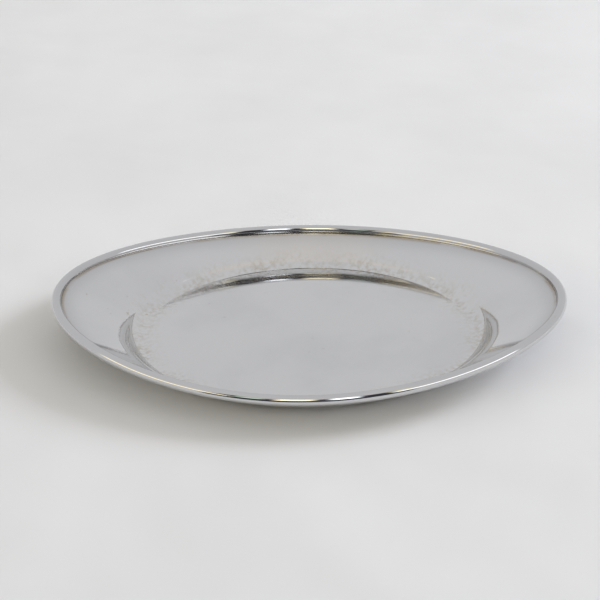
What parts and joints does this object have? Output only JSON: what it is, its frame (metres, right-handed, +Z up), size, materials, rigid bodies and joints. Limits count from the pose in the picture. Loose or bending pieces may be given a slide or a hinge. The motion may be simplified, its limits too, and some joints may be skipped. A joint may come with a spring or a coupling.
{
  "type": "serving tray",
  "caption": "Oval polished metal serving tray with a flat floor, a cove, a soft shoulder, a brim that widens and rises towards both ends, and a rolled edge over a wire.",
  "frame": {"origin": "under the middle of the tray, on the surface that it rests on", "axes": "+Z up, +X along the tray's length, +Y across it"},
  "size_m": [0.356, 0.2494, 0.0346],
  "materials": {
    "polished_sheet": "mirror polish with fine use scratches, faint haze and a little brown tarnish along the cove and the roll",
    "steel_wire": "plain drawn wire"
  },
  "bodies": {
    "root": {"tray_body": "polished_sheet", "edge_wire": "steel_wire"}
  },
  "joints": []
}
